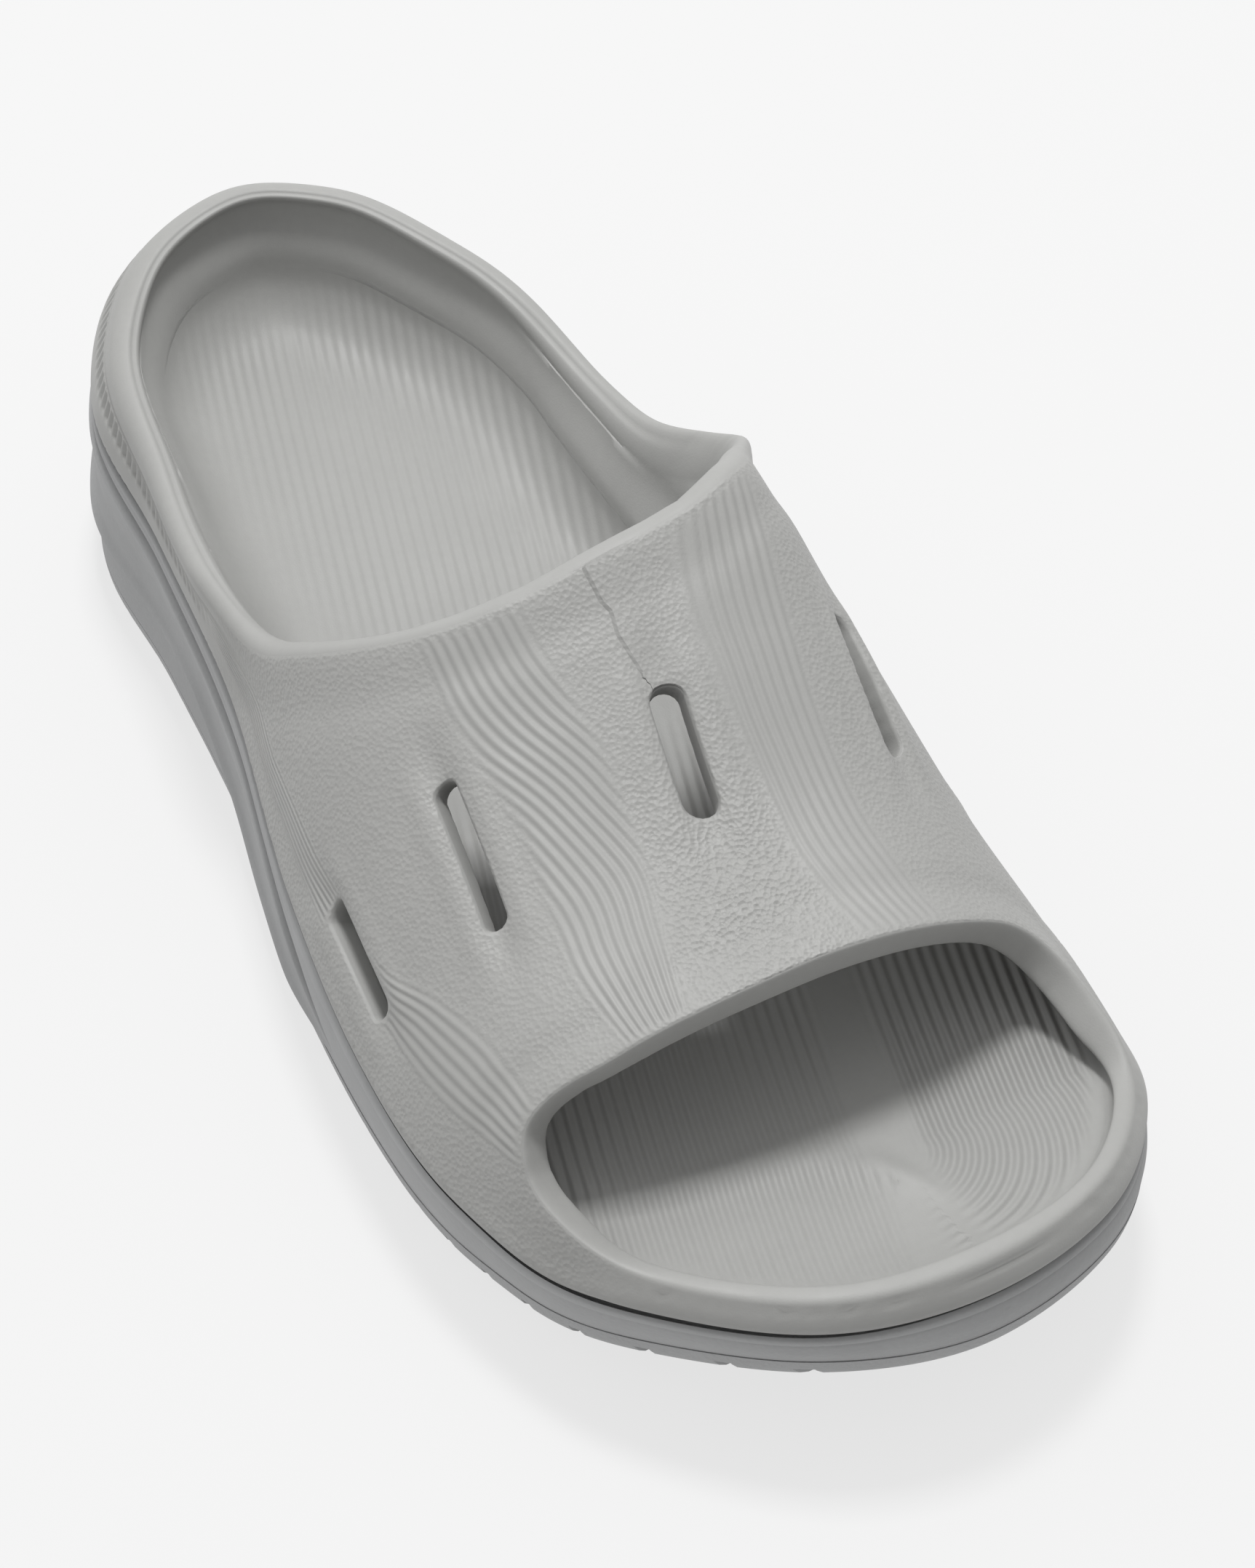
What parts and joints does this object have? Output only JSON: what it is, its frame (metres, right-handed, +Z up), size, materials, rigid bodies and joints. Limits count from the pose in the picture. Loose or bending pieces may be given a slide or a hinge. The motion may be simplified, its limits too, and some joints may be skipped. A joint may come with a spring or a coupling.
{
  "type": "slide sandal",
  "caption": "Moulded foam slide sandal with a broad vented strap, open toe, low rimmed heel cup, sculpted midsole and lugged tread, right foot.",
  "frame": {"origin": "on the floor under the middle of the bounding box", "axes": "+Z up, +Y towards the heel, toe at -Y, +X towards the inner side of the right foot"},
  "size_m": [0.1262, 0.2984, 0.093],
  "materials": {
    "upper": "matte moulded foam with a fine grain",
    "midsole": "matte smooth foam",
    "outsole": "matte rubbery foam"
  },
  "bodies": {
    "root": {"upper": "upper", "midsole": "midsole", "outsole": "outsole"}
  },
  "joints": []
}
